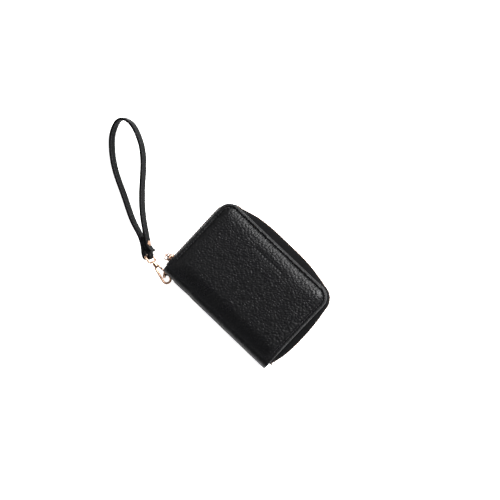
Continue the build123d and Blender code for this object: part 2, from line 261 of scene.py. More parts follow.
def woven(name, dark, light, threads, rough, sheen, shine):
    """Woven cloth: two crossed sets of threads with slubs."""
    m = Nodes(name, rough, Sheen_Weight=sheen, Specular_IOR_Level=shine)
    sets = []
    for direction in ("X", "Y"):
        wave = m.node(
            "ShaderNodeTexWave",
            {"Vector": m.place, "Scale": threads, "Distortion": 0.6, "Detail": 1.0},
            bands_direction=direction,
        )
        sets.append(wave.outputs["Fac"])
    weave = m.node("ShaderNodeMath", {0: sets[0], 1: sets[1]}, operation="MAXIMUM").outputs[0]
    m.colors(m.times(weave, m.noise(400, 3.0)), dark, light)
    m.link(m.ramp(weave, rough + 0.08, rough - 0.08), "Roughness")
    m.bump(weave, 0.5, 0.0001)
    return m.mat


def speckled(name, dark, light, scale, rough):
    """A fibrous or painted surface with fine mottling."""
    m = Nodes(name, rough)
    fibre = m.noise(scale, 5.0)
    m.colors(fibre, dark, light)
    m.link(m.ramp(fibre, rough + 0.1, rough - 0.1), "Roughness")
    m.bump(fibre, 0.4, 0.0001)
    return m.mat


BLACK = (0.0008, 0.0008, 0.001)
PEBBLED = leather(
    "pebbled_leather", BLACK, (0.003, 0.0031, 0.0038), cell=520, grain=0.8, rough=0.34, shine=0.16
)
SMOOTH = leather(
    "smooth_leather", BLACK, (0.0022, 0.0022, 0.0026), cell=1300, grain=0.35, rough=0.42, shine=0.03
)
GOLD = metal("gold_metal")
TAPE = woven(
    "zip_tape", (0.0012, 0.0012, 0.0012), (0.004, 0.004, 0.0045), threads=900, rough=0.95, sheen=0.0,
    shine=0.04,
)
LINING = woven(
    "lining", (0.012, 0.012, 0.014), (0.035, 0.035, 0.04), threads=700, rough=0.6, sheen=0.35, shine=0.28
)
THREAD = woven(
    "thread", (0.003, 0.003, 0.0035), (0.012, 0.012, 0.014), threads=2200, rough=0.55, sheen=0.15, shine=0.2
)
BOARD = speckled("board", (0.3, 0.26, 0.2), (0.45, 0.4, 0.32), scale=900, rough=0.85)
FOAM = speckled("foam", (0.4, 0.4, 0.4), (0.55, 0.55, 0.55), scale=1500, rough=0.9)


# ---------------------------------------------------------------- mesh helpers
def mesh_object(name, points, faces, material):
    """A smooth-shaded mesh with its normals facing out."""
    mesh = bpy.data.meshes.new(name)
    mesh.from_pydata([tuple(p) for p in points], [], [tuple(f) for f in faces])
    mesh.validate()
    made = bmesh.new()
    made.from_mesh(mesh)
    bmesh.ops.recalc_face_normals(made, faces=made.faces)
    made.to_mesh(mesh)
    made.free()
    mesh.polygons.foreach_set("use_smooth", [True] * len(mesh.polygons))
    mesh.set_sharp_from_angle(angle=SHARP)
    piece = bpy.data.objects.new(name, mesh)
    bpy.context.scene.collection.objects.link(piece)
    piece.data.materials.append(material)
    return piece


def grid_faces(rows, columns, closed=False, start=0):
    """Quads over rows of points; closed joins each row's last point to its first."""
    faces = []
    for i in range(rows - 1):
        for j in range(columns if closed else columns - 1):
            k = (j + 1) % columns
            here, above = start + i * columns, start + (i + 1) * columns
            faces.append((here + j, here + k, above + k, above + j))
    return faces


def modify(piece, kind, **settings):
    """Add one modifier and apply it."""
    modifier = piece.modifiers.new(kind.lower(), kind)
    for key, value in settings.items():
        setattr(modifier, key, value)
    graph = bpy.context.evaluated_depsgraph_get()
    mesh = bpy.data.meshes.new_from_object(piece.evaluated_get(graph))
    piece.modifiers.clear()
    mesh.set_sharp_from_angle(angle=SHARP)
    piece.data = mesh
    return piece


def smoothstep(value, low, high):
    """0 at low, 1 at high and a smooth change between; low may be the larger of the two."""
    t = np.clip((value - low) / (high - low), 0, 1)
    return t * t * (3 - 2 * t)


def hashed(a, b, seed):
    """A fixed value from 0 to 1 for each whole-numbered cell."""
    raw = np.sin(a * 127.1 + b * 311.7 + seed * 74.7) * 43758.5453
    return raw - np.floor(raw)


def pebble(u, v):
    """Height of pebbled grain at lengths along the leather, from 0 in the creases to 1 on the pebbles."""
    su = u + 0.5 * MM * np.sin(v / (2.3 * MM)) + 0.4 * MM * np.sin(v / (5.1 * MM) + 1.0)
    sv = v + 0.5 * MM * np.sin(u / (2.9 * MM)) + 0.4 * MM * np.sin(u / (6.3 * MM) + 2.0)
    cu = (su - sv) * math.sqrt(0.5) / PEBBLE
    cv = (su + sv) * math.sqrt(0.5) / (PEBBLE * PEBBLE_LONG)
    nearest = np.full(u.shape, 9.0)
    second = nearest.copy()
    for du in (-1, 0, 1):
        for dv in (-1, 0, 1):
            a, b = np.floor(cu) + du, np.floor(cv) + dv
            away = np.hypot(a + hashed(a, b, 0) - cu, b + hashed(a, b, 1) - cv)
            closer = away < nearest
            second = np.where(closer, nearest, np.minimum(second, away))
            nearest = np.where(closer, away, nearest)
    return smoothstep(second - nearest, 0.0, 0.4)


# ---------------------------------------------------------------- line helpers
def arc(a, via, b, count):
    """Points from a to b along the circle through via, turning right."""
    ax, ay = a
    bx, by = via
    cx, cy = b
    d = 2 * (ax * (by - cy) + bx * (cy - ay) + cx * (ay - by))
    aa, bb, cc = ax * ax + ay * ay, bx * bx + by * by, cx * cx + cy * cy
    ox = (aa * (by - cy) + bb * (cy - ay) + cc * (ay - by)) / d
    oy = (aa * (cx - bx) + bb * (ax - cx) + cc * (bx - ax)) / d
    radius = math.hypot(ax - ox, ay - oy)
    first = math.atan2(ay - oy, ax - ox)
    last = math.atan2(cy - oy, cx - ox)
    sweep = (first - last) % (2 * math.pi)
    angles = first - np.linspace(0, sweep, count)
    return np.stack([ox + radius * np.cos(angles), oy + radius * np.sin(angles)], 1)


def arc_left(a, via, b):
    """Points from a to b along the circle through via, turning left."""
    return arc(b, via, a, 12)[::-1]


def resample(line, step, count=None):
    """Even points along a line, a step apart, or a given number of them."""
    gaps = np.linalg.norm(np.diff(line, axis=0), axis=1)
    along = np.concatenate([[0], np.cumsum(gaps)])
    count = count or int(along[-1] / step) + 1
    places = np.linspace(0, along[-1], count)
    return np.stack([np.interp(places, along, line[:, k]) for k in range(line.shape[1])], 1)


def natural_spline(route, count):
    """Even points on the smooth curve through a route."""
    route = np.array(route)
    gaps = np.linalg.norm(np.diff(route, axis=0), axis=1)
    knots = np.concatenate([[0], np.cumsum(gaps)])
    n = len(route)
    system = np.zeros((n, n))
    system[0, 0] = system[-1, -1] = 1
    goal = np.zeros(route.shape)
    for i in range(1, n - 1):
        before, after = gaps[i - 1], gaps[i]
        system[i, i - 1 : i + 2] = (before, 2 * (before + after), after)
        goal[i] = 6 * ((route[i + 1] - route[i]) / after - (route[i] - route[i - 1]) / before)
    bend = np.linalg.solve(system, goal)
    fine = np.linspace(0, knots[-1], count * 6)
    span = np.clip(np.searchsorted(knots, fine) - 1, 0, n - 2)
    gap = gaps[span][:, None]
    left = (knots[span + 1] - fine)[:, None]
    right = (fine - knots[span])[:, None]
    line = bend[span] * left**3 / (6 * gap) + bend[span + 1] * right**3 / (6 * gap)
    line += (route[span] / gap - bend[span] * gap / 6) * left
    line += (route[span + 1] / gap - bend[span + 1] * gap / 6) * right
    return resample(line, 0, count)


# ---------------------------------------------------------------- leather shell
def emblem(x, y):
    """Depth of a plain row of small lozenges pressed into the leather."""
    along = (x - EMBLEM_CENTRE[0]) / EMBLEM_STEP
    cell = np.clip(np.round(along), -EMBLEM_SIDE, EMBLEM_SIDE)
    across = (along - cell) * EMBLEM_STEP
    away = np.abs(across) / EMBLEM_HALF[0] + np.abs(y - EMBLEM_CENTRE[1]) / EMBLEM_HALF[1]
    return EMBLEM_DEPTH * (1 - smoothstep(away, 0.35, 1.15))


def cover_grid(step=MESH_STEP):
    """Grid over a cover, rounded at its two zip corners, with each point's distance to the rim."""
    columns = int(2 * HALF_X / step) + 1
    rows = int((RIM_Y - ROLL_Y) / step) + 1
    gx, gy = np.meshgrid(np.linspace(-HALF_X, HALF_X, columns), np.linspace(ROLL_Y, RIM_Y, rows))
    inset = np.minimum(HALF_X - np.abs(gx), RIM_Y - gy)
    a = np.maximum(np.abs(gx) - (HALF_X - CORNER_R), 0)
    b = np.maximum(gy - (RIM_Y - CORNER_R), 0)
    pull = np.where((a > 0) & (b > 0), np.maximum(a, b) / np.maximum(np.hypot(a, b), 1e-9), 1.0)
    x = np.sign(gx) * (np.abs(gx) - a + a * pull)
    y = gy - b + b * pull
    return x, y, inset


def cover_rise(x, y, inset, pad, rim=1.0):
    """Height of the cover's outer face over its nominal plane."""
    near_zip = smoothstep(y, ROLL_Y, ROLL_Y + SPINE_FADE)
    edge = np.clip(inset / RIM_WIDTH, 0, 1)
    lip = RIM_RISE * np.sin(math.pi * edge) ** 0.8 - 0.5 * MM * (1 - smoothstep(inset, 0, 0.9 * MM))
    groove = -GROOVE * np.exp(-(((inset - STITCH_INSET) / GROOVE_SPREAD) ** 2))
    over = np.maximum(inset - PAD_START, 0)
    puff = pad * (1 - np.exp(-over / PAD_RUN))
    sag = 0.35 * MM * np.sin(x / (31 * MM) + 0.8) * np.sin(y / (24 * MM)) * (pad > 0)
    fade = 0.25 + 0.75 * smoothstep(y, ROLL_Y - 2 * MM, ROLL_Y + 22 * MM)
    beside = np.maximum(np.abs(x - EMBLEM_CENTRE[0]) - EMBLEM_SIDE * EMBLEM_STEP, 0)
    pressed = smoothstep(np.hypot(beside, y - EMBLEM_CENTRE[1]), 2.5 * MM, 5 * MM) if pad else 1.0
    grain = PEBBLE_RISE * pebble(x, y) * smoothstep(inset, 0.2 * MM, 1.2 * MM)
    grain = grain * fade * (0.3 + 0.7 * pressed)
    settled = near_zip * smoothstep(over, 0, 12 * MM)
    return (lip + groove) * near_zip * rim + puff * near_zip + sag * settled + grain * rim


def skirt(columns, rows):
    """Indices of the border points from one spine corner round the zip sides to the other."""
    left = [i * columns for i in range(rows)]
    top = [(rows - 1) * columns + j for j in range(1, columns)]
    right = [i * columns + columns - 1 for i in range(rows - 2, -1, -1)]
    return left + top + right


def cover_shell(name, side):
    """Outer leather of one cover: side 1 is the padded front, -1 the flat back."""
    x, y, inset = cover_grid()
    rows, columns = x.shape
    if side > 0:
        z = TOP_Z + cover_rise(x, y, inset, PAD_RISE) - emblem(x, y)
    else:
        z = BACK_Z - cover_rise(x, y, inset, 0.0, BACK_RISE)
    points = [Vector(p) for p in zip(x.ravel(), y.ravel(), z.ravel())]
    faces = grid_faces(rows, columns)
    border = skirt(columns, rows)
    ring = border
    for out, drop in EDGE_ROWS:
        start = len(points)
        for k, index in enumerate(border):
            before = points[border[max(k - 1, 0)]]
            after = points[border[min(k + 1, len(border) - 1)]]
            along = after - before
            outward = Vector((-along.y, along.x, 0)).normalized()
            place = points[index] + outward * out * MM - Vector((0, 0, side * drop * MM))
            points.append(place)
        fresh = list(range(start, start + len(border)))
        for k in range(len(border) - 1):
            faces.append((ring[k], ring[k + 1], fresh[k + 1], fresh[k]))
        ring = fresh
    return mesh_object(name, points, faces, PEBBLED)


def spine_wrap():
    """Leather rolling over the spine from cover to cover, open at the strap end for the D-ring."""
    columns = int(2 * HALF_X / MESH_STEP) + 1
    points = []
    run = ROLL_Y - SPINE_Y
    for angle in np.linspace(math.pi / 2, -math.pi / 2, SPINE_TURNS):
        reach = MID_Z if angle > 0 else MID_Z - BACK_Z * math.sin(-angle)
        upper = float(smoothstep(angle, *OPENING_TOP))
        lower = float(smoothstep(-angle, *OPENING_FOOT))
        start_x = -HALF_X + SPINE_OPENING * upper * lower
        x = np.linspace(start_x, HALF_X, columns)
        end = np.minimum(x - start_x, HALF_X - x)
        edge = -0.5 * MM * (1 - smoothstep(end, 0, 1.0 * MM))
        dent = np.exp(-(((x + 36 * MM) / (5 * MM)) ** 2))
        crease = -0.35 * MM * dent * max(math.cos(angle * 1.3 - 0.9), 0)
        along = np.full(columns, ROLL_Y - MID_Z * (math.pi / 2 - angle))
        rise = 0.25 * PEBBLE_RISE * pebble(x, along) + edge + crease
        y = ROLL_Y - (run + rise) * math.cos(angle)
        z = MID_Z + (reach + rise) * math.sin(angle)
        points += [Vector(p) for p in zip(x, y, z)]
    return mesh_object("spine_wrap", points, grid_faces(SPINE_TURNS, columns), PEBBLED)


# ---------------------------------------------------------------- zip
def chain_line(spread, step):
    """Even points along the zip at one height: spread 0 under the rims, 1 out at the teeth."""
    left = -TAPE_LOW[0]
    top = TAPE_HIGH[1]
    sewn_x, sewn_y = HALF_X - MM, RIM_Y - MM
    low = TAPE_END_Y

    def mix(sewn, out):
        return (sewn[0] + (out[0] - sewn[0]) * spread, sewn[1] + (out[1] - sewn[1]) * spread)

    a = mix((-sewn_x, low), (-left, low))
    b = mix((-sewn_x, RIM_Y - 15 * MM), (-left, RIM_Y - 15 * MM))
    corner_left = mix((-HALF_X + 4.4 * MM, RIM_Y - 4.4 * MM), (-HALF_X + 4.5 * MM, RIM_Y - 4.5 * MM))
    c = mix((-HALF_X + 14 * MM, sewn_y), (-HALF_X + 14 * MM, RIM_Y))
    rise = mix((-HALF_X + 34 * MM, sewn_y), (-HALF_X + 34 * MM, RIM_Y + 5.2 * MM))
    middle = mix((0, sewn_y + 0.2 * MM), (0, top))
    fall = mix((HALF_X - 34 * MM, sewn_y), (HALF_X - 34 * MM, RIM_Y + 5.6 * MM))
    d = mix((HALF_X - 13 * MM, sewn_y), (HALF_X - 12 * MM, RIM_Y + 1.4 * MM))
    corner_right = mix((HALF_X - 4.4 * MM, RIM_Y - 4.4 * MM), (HALF_X - 1.0 * MM, RIM_Y - 3.7 * MM))
    e = mix((sewn_x, RIM_Y - 15 * MM), (HALF_X + 3.5 * MM, RIM_Y - 15 * MM))
    side = [mix((sewn_x, y * MM), (HALF_X + out * MM, y * MM)) for y, out in SHORT_SIDE]
    f = mix((sewn_x, low), (HALF_X + 0.9 * MM, low))
    runs = [
        np.linspace(a, b, 60),
        arc(b, corner_left, c, 40),
        natural_spline((c, rise, middle, fall, d), 120),
        arc(d, corner_right, e, 40),
        natural_spline((e, *side, f), 70),
    ]
    line = np.concatenate([run[:-1] for run in runs[:-1]] + [runs[-1]])
    return resample(line, step)


def zip_tape(name, side):
    """Tape from under the rim out to the teeth, fanned and slightly bowed."""
    foot = abs(TAPE_HIGH[2] - MID_Z)
    edge = abs(TAPE_LOW[2] - MID_Z) - 0.9 * MM
    points = []
    sewn = resample(chain_line(0.0, MM), MM, TAPE_COLUMNS)
    out = resample(chain_line(1.0, MM), MM, TAPE_COLUMNS)
    for i in range(TAPE_LEVELS):
        t = i / (TAPE_LEVELS - 1)
        bow = math.sin(t * math.pi / 2)
        line = sewn + (out - sewn) * bow
        z = MID_Z + side * (foot + (edge - foot) * t)
        points += [(p[0], p[1], z) for p in line]
    piece = mesh_object(name, points, grid_faces(TAPE_LEVELS, TAPE_COLUMNS), TAPE)
    return modify(piece, "SOLIDIFY", thickness=TAPE_THICK, offset=0.0)


def tooth_mesh():
    """One zip tooth: a rounded block, narrower at its head, standing along +Z."""
    made = bmesh.new()
    bmesh.ops.create_cube(made, size=1.0)
    for vertex in made.verts:
        shrink = TOOTH_HEAD if vertex.co.z > 0 else 1.0
        size = Vector((TOOTH_SIZE[0], TOOTH_SIZE[1] * shrink, TOOTH_SIZE[2]))
        vertex.co = vertex.co * size
    bmesh.ops.bevel(made, geom=made.edges[:], offset=0.28 * MM, segments=2, affect="EDGES")
    points = np.array([v.co[:] for v in made.verts])
    faces = [[v.index for v in f.verts] for f in made.faces]
    made.free()
    return points, faces


def zip_teeth(name, side):
    """A row of teeth clamped on one tape; the other row's teeth lie in its gaps."""
    shape, shape_faces = tooth_mesh()
    line = chain_line(1.0, TOOTH_PITCH / 2)
    points, faces = [], []
    first = 1 if side > 0 else 2
    for k in range(first, len(line) - 1, 2):
        along = line[k + 1] - line[k - 1]
        along = along / np.linalg.norm(along)
        outward = np.array([-along[1], along[0]])
        centre_z = MID_Z + side * (TOOTH_SIZE[2] / 2 - 0.75 * MM)
        base = len(points)
        for p in shape:
            flat = line[k] + along * p[0] + outward * (p[1] - TOOTH_INSET)
            points.append((flat[0], flat[1], centre_z - side * p[2]))
        faces += [[base + index for index in face] for face in shape_faces]
    return mesh_object(name, points, faces, GOLD)


# ---------------------------------------------------------------- stitches
def stitches(name, places, normal_at):
    """Short raised threads, each lying along its place's direction and dipping at both ends."""
    points, faces = [], []
    ring, steps = 8, 7
    for place, along, up in zip(places[0], places[1], normal_at):
        side = along.cross(up).normalized()
        start = len(points)
        for i in range(steps):
            t = i / (steps - 1) * 2 - 1
            radius = THREAD_R * math.sqrt(max(1 - t**4, 0.02))
            centre = place + along * (t * STITCH_LENGTH / 2) - up * (0.22 * MM * t * t)
            for j in range(ring):
                turn = 2 * math.pi * j / ring
                points.append(centre + side * (radius * math.cos(turn)) + up * (radius * math.sin(turn)))
        faces += grid_faces(steps, ring, closed=True, start=start)
        faces.append(tuple(range(start, start + ring)))
        faces.append(tuple(range(start + (steps - 1) * ring, start + steps * ring)))
    return mesh_object(name, points, faces, THREAD)


def rim_line(inset, step):
    """Even points round a cover at one distance in from the rim, between the spine's two ends."""
    right, top, radius = HALF_X - inset, RIM_Y - inset, CORNER_R - inset
    low = ROLL_Y + 9 * MM
    lean = radius * (1 - math.sqrt(0.5))
    runs = [
        np.linspace((-right, low), (-right, top - radius), 30),
        arc((-right, top - radius), (-right + lean, top - lean), (-right + radius, top), 24),
        np.linspace((-right + radius, top), (right - radius, top), 60),
        arc((right - radius, top), (right - lean, top - lean), (right, top - radius), 24),
        np.linspace((right, top - radius), (right, low), 30),
    ]
    line = np.concatenate([run[:-1] for run in runs[:-1]] + [runs[-1]])
    return resample(line, step)


def rim_stitches(name, side):
    """The sewn line round one cover, inside its rim."""
    line = rim_line(STITCH_INSET, STITCH_PITCH)
    places, directions, ups = [], [], []
    for k in range(1, len(line) - 1):
        along = Vector((*(line[k + 1] - line[k - 1]), 0)).normalized()
        z = TOP_Z + 0.02 * MM if side > 0 else BACK_Z + 0.1 * MM
        places.append(Vector((line[k][0], line[k][1], z)))
        directions.append(along)
        ups.append(Vector((0, 0, side)))
    return stitches(name, (places, directions), ups)


# ---------------------------------------------------------------- strap
def strap_axes():
    """The ring's bar, and the directions along the loop, across it and across the strap's width."""
    along = Vector((math.cos(STRAP_DIRECTION), math.sin(STRAP_DIRECTION), 0))
    tilt = Matrix.Rotation(STRAP_ROLL, 3, along)
    wide = tilt @ Vector((0, 0, 1))
    return Vector(JOINTS["strap_swing"]["pos_m"]), along, wide.cross(along), wide


def strap_section():
    """Outline of the folded strap: rounded corners, and a shallow channel along each sewn line."""
    half_w, half_t = STRAP_WIDTH / 2, STRAP_THICK / 2
    corner = 0.8 * MM
    half = []
    for first in (0, 1):
        for turn in np.linspace(0, math.pi / 2, 5):
            w, t = (math.sin(turn), math.cos(turn)) if first == 0 else (math.cos(turn), -math.sin(turn))
            sign = 1 if first == 0 else -1
            half.append((half_w - corner + corner * w, sign * (half_t - corner) + corner * t))
        if first == 0:
            half.append((half_w - 0.25 * MM, 0.0))
    for k in (0.76, 0.68, 0.6, 0.3):
        channel = 0.22 * MM if k == 0.68 else 0.0
        crown = 0.18 * MM * (1 - k)
        half.append((half_w * k, -half_t + channel - crown))
    return half + [(-w, -t) for w, t in half]


def strap():
    """The strip folded round the ring's bar, and four rows of stitches."""
    origin, along, across, wide = strap_axes()
    line = natural_spline(STRAP_ROUTE, STRAP_SAMPLES) * MM
    section = strap_section()
    points = []
    tangents = np.gradient(line, axis=0)
    tangents = tangents / np.linalg.norm(tangents, axis=1)[:, None]
    for place, tangent in zip(line, tangents):
        centre = origin + along * place[0] + across * place[1]
        out = along * -tangent[1] + across * tangent[0]
        for w, t in section:
            points.append(centre + wide * w + out * t)
    faces = grid_faces(len(line), len(section), closed=True)
    last = (len(line) - 1) * len(section)
    faces.append(tuple(range(len(section))))
    faces.append(tuple(range(last, last + len(section))))
    piece = mesh_object("wrist_strap_leather", points, faces, SMOOTH)
    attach(piece, "strap")
    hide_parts("wrist_strap")
    places, directions, ups = [], [], []
    count = int(np.linalg.norm(np.diff(line, axis=0), axis=1).sum() / STITCH_PITCH)
    beads = resample(line, 0, count)
    for k in range(1, count - 1):
        tangent = beads[k + 1] - beads[k - 1]
        tangent = tangent / np.linalg.norm(tangent)
        centre = origin + along * beads[k][0] + across * beads[k][1]
        forward = along * tangent[0] + across * tangent[1]
        out = along * -tangent[1] + across * tangent[0]
        for face in (1, -1):
            for edge in (1, -1):
                raised = out * (face * (STRAP_THICK / 2 - 0.02 * MM))
                places.append(centre + wide * (edge * STRAP_WIDTH * STRAP_SEAM) + raised)
                directions.append(forward)
                ups.append(out * face)
    sewn = stitches("wrist_strap_stitches", (places, directions), ups)
    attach(sewn, "strap")


# ---------------------------------------------------------------- inside
def sheet(name, x, y, z, thick, material):
    """A bent sheet from rows of heights, given some thickness."""
    points = [Vector(p) for p in zip(x.ravel(), y.ravel(), z.ravel())]
    piece = mesh_object(name, points, grid_faces(*x.shape), material)
    return modify(piece, "SOLIDIFY", thickness=thick, offset=0.0)


def plot(low_x, high_x, low_y, high_y, step):
    """Grid of points over a rectangle."""
    columns = int((high_x - low_x) / step) + 1
    rows = int((high_y - low_y) / step) + 1
    return np.meshgrid(np.linspace(low_x, high_x, columns), np.linspace(low_y, high_y, rows))


def tube(name, line, radius, material, ring=10):
    """Round cord or piping along a line of points."""
    line = [Vector(p) for p in line]
    points = []
    for k, place in enumerate(line):
        along = (line[min(k + 1, len(line) - 1)] - line[max(k - 1, 0)]).normalized()
        side = along.cross(Vector((0, 0, 1))).normalized()
        up = side.cross(along)
        for j in range(ring):
            turn = 2 * math.pi * j / ring
            points.append(place + side * (radius * math.cos(turn)) + up * (radius * math.sin(turn)))
    faces = grid_faces(len(line), ring, closed=True)
    faces.append(tuple(range(ring)))
    faces.append(tuple(range(len(points) - ring, len(points))))
    return mesh_object(name, points, faces, material)


def cover_lining(name, side):
    """Lining cloth of one cover, with a turned edge and slight slack between its seams."""
    low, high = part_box(name)
    x, y, inset = cover_grid(1.1 * MM)
    shrink = 1 - 1.0 * MM / HALF_X
    hem = 0.2 * MM * np.exp(-(((inset - 1.2 * MM) / (0.8 * MM)) ** 2))
    slack = 0.12 * MM * np.sin(x / (7 * MM) + np.sin(y / (11 * MM)) * 2) * np.sin(y / (9 * MM) + 1)
    z = (low[2] + high[2]) / 2 + side * (hem + slack)
    return sheet(f"{name}_cloth", x * shrink, y * shrink, z, CLOTH_THICK, LINING)


def card_pockets(name, side):
    """A leather backing and three stepped pockets with rolled hems, and their stitching."""
    low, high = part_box(name)
    x, y = plot(low[0], high[0], low[1], high[1], 0.7 * MM)
    base = low[2] if side > 0 else high[2]
    tops = [high[1]] + [high[1] - CARD_STEP * (k + 0.6) for k in range(CARD_POCKETS)]
    rise = np.zeros(x.shape)
    for top in tops:
        below = top - y
        rise += CARD_LAYER * smoothstep(below, 0, 0.25 * MM)
        hem = smoothstep(below, 0, 0.4 * MM) * (1 - smoothstep(below, 1.6 * MM, 2.4 * MM))
        rise += 0.18 * MM * hem
    end = np.minimum(x - low[0], high[0] - x)
    bound = 0.25 * MM * np.exp(-(((end - 1.8 * MM) / (1.2 * MM)) ** 2))
    rise = rise * smoothstep(end, 0, 0.5 * MM) + bound
    slack = 0.25 * MM * np.sin(math.pi * (x - low[0]) / (high[0] - low[0]))
    rise += slack * smoothstep(high[1] - y, 0, 20 * MM)
    piece = sheet(f"{name}_pockets", x, y, base + side * (rise + 0.1 * MM), 0.3 * MM, SMOOTH)
    places, directions, ups = [], [], []
    for k, top in enumerate(tops):
        for px in np.arange(low[0] + 3 * MM, high[0] - 3 * MM, STITCH_PITCH):
            z = base + side * (CARD_LAYER * (k + 1) + 0.3 * MM)
            places.append(Vector((px, top - 2.7 * MM, z)))
            directions.append(Vector((1, 0, 0)))
            ups.append(Vector((0, 0, side)))
    return piece, stitches(f"{name}_stitches", (places, directions), ups)


def coin_panel(name, side):
    """One side of the coin pocket: soft cloth, pinched at its seams and puckered near the zip."""
    low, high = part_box(name)
    x, y = plot(low[0], high[0], low[1], high[1], 0.8 * MM)
    seam = np.minimum(np.minimum(x - low[0], high[0] - x), y - low[1])
    full = COIN_HALF * (0.12 + 0.88 * smoothstep(seam, 0.5 * MM, 9 * MM))
    pucker = 0.25 * MM * np.sin(x / (2.1 * MM) + np.sin(y / (5 * MM)))
    pucker = pucker * np.exp(-(high[1] - y) / (9 * MM))
    folds = 0.3 * MM * np.sin(x / (17 * MM) + y / (13 * MM)) * np.sin(y / (10 * MM) + side)
    soft = smoothstep(seam, 0, 12 * MM)
    z = MID_Z + side * (full - 0.35 * MM + (pucker - 0.25 * MM + folds - 0.3 * MM) * soft)
    return sheet(f"{name}_cloth", x, y, z, PANEL_THICK, LINING)


def coin_binding():
    """Leather piping over the coin pocket's three seamed edges."""
    low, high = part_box("coin_panel_front")
    inset = 0.6 * MM
    left, right, foot = low[0] + inset, high[0] - inset, low[1] + inset
    bend = 3 * MM
    lean = bend * (1 - math.sqrt(0.5))
    runs = [
        np.linspace((left, high[1] - inset), (left, foot + bend), 40),
        arc_left((left, foot + bend), (left + lean, foot + lean), (left + bend, foot)),
        np.linspace((left + bend, foot), (right - bend, foot), 60),
        arc_left((right - bend, foot), (right - lean, foot + lean), (right, foot + bend)),
        np.linspace((right, foot + bend), (right, high[1] - inset), 40),
    ]
    line = np.concatenate(runs)
    line = resample(line, 0.8 * MM)
    return tube("coin_pocket_binding", [(p[0], p[1], MID_Z) for p in line], PIPING_R, SMOOTH)


def coin_zip():
    """The coin pocket's two tapes and its closed row of teeth."""
    low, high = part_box("coin_zip_tape")
    tapes = []
    for side in (1, -1):
        x, y = plot(low[0], high[0], low[1], high[1], 0.9 * MM)
        ripple = 0.1 * MM * np.sin(x / (1.7 * MM) + side)
        taper = 0.4 * MM * smoothstep(y, low[1], high[1])
        z = MID_Z + side * (high[2] - MID_Z - 1.0 * MM - taper + ripple)
        tapes.append(sheet(f"coin_zip_tape_{side + 1}", x, y, z, PANEL_THICK, TAPE))
    low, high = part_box("coin_zip_teeth")
    shape, shape_faces = tooth_mesh()
    points, faces = [], []
    y = (low[1] + high[1]) / 2
    along, across, tall = COIN_TOOTH
    for k, x in enumerate(np.arange(low[0] + MM, high[0] - MM, TOOTH_PITCH / 2)):
        side = 1 if k % 2 else -1
        base = len(points)
        z = MID_Z + side * 0.55 * MM
        for p in shape:
            points.append((x + p[0] * along, y + p[1] * across, z - side * p[2] * tall))
        faces += [[base + index for index in face] for face in shape_faces]
    teeth = mesh_object("coin_zip_teeth_row", points, faces, GOLD)
    return tapes, teeth


def spine_cloth():
    """Lining inside the spine, running from one cover's lining to the other."""
    low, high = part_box("spine_lining_front")
    half_z = high[2] - MID_Z - 0.25 * MM
    run = ROLL_Y - low[1] - 0.25 * MM
    columns = int((high[0] - low[0]) / MM) + 1
    x = np.linspace(low[0], high[0], columns)
    points = []
    turns = 30
    for angle in np.linspace(math.pi / 2, -math.pi / 2, turns):
        ripple = 0.15 * MM * np.sin(x / (4 * MM) + angle * 2)
        y = ROLL_Y - (run - ripple) * math.cos(angle)
        z = MID_Z + (half_z - ripple) * math.sin(angle)
        points += [Vector(p) for p in zip(x, y, z)]
    piece = mesh_object("spine_lining_cloth", points, grid_faces(turns, columns), LINING)
    return modify(piece, "SOLIDIFY", thickness=CLOTH_THICK, offset=0.0)


def ring_tab():
    """Leather tab folded round the D-ring's straight bar and sewn down behind it."""
    joint = JOINTS["d_ring_swing"]
    origin = Vector(joint["pos_m"])
    wide = Vector(joint["axis"]).normalized()
    along = Vector((0, 0, 1)).cross(wide)
    up = Vector((0, 0, 1))
    half_t = 0.5 * MM
    wrap = TAB_WRAP_R
    turns = np.linspace(math.radians(60), math.radians(-180), 14)
    route = [(15 * MM, -wrap + 0.05 * MM), (9 * MM, -wrap + 0.1 * MM), (4 * MM, -0.6 * MM)]
    route += [(wrap * math.sin(t), wrap * math.cos(t)) for t in turns]
    route += [(4 * MM, -wrap - 0.1 * MM), (9 * MM, -wrap - 1.0 * MM), (15 * MM, -wrap - 1.05 * MM)]
    line = natural_spline(route, 90)
    tangents = np.gradient(line, axis=0)
    tangents = tangents / np.linalg.norm(tangents, axis=1)[:, None]
    half_w = TAB_HALF_WIDTH
    corner = 0.3 * MM
    inner_w, inner_t = half_w - corner, half_t - corner
    section = [(half_w, inner_t), (inner_w, half_t), (-inner_w, half_t), (-half_w, inner_t)]
    section += [(-w, -t) for w, t in section]
    points = []
    for place, tangent in zip(line, tangents):
        centre = origin + along * place[0] + up * place[1]
        out = up * tangent[0] - along * tangent[1]
        points += [centre + wide * w + out * t for w, t in section]
    faces = grid_faces(len(line), len(section), closed=True)
    faces.append(tuple(range(len(section))))
    faces.append(tuple(range(len(points) - len(section), len(points))))
    tab = mesh_object("d_ring_tab_leather", points, faces, SMOOTH)
    places = [origin + along * (a * MM) + up * (-wrap + half_t) + wide * w
              for a in (9.5, 12.5) for w in (-0.6 * half_w, 0.6 * half_w)]
    sewn = stitches("d_ring_tab_stitches", (places, [along] * len(places)), [up] * len(places))
    return tab, sewn


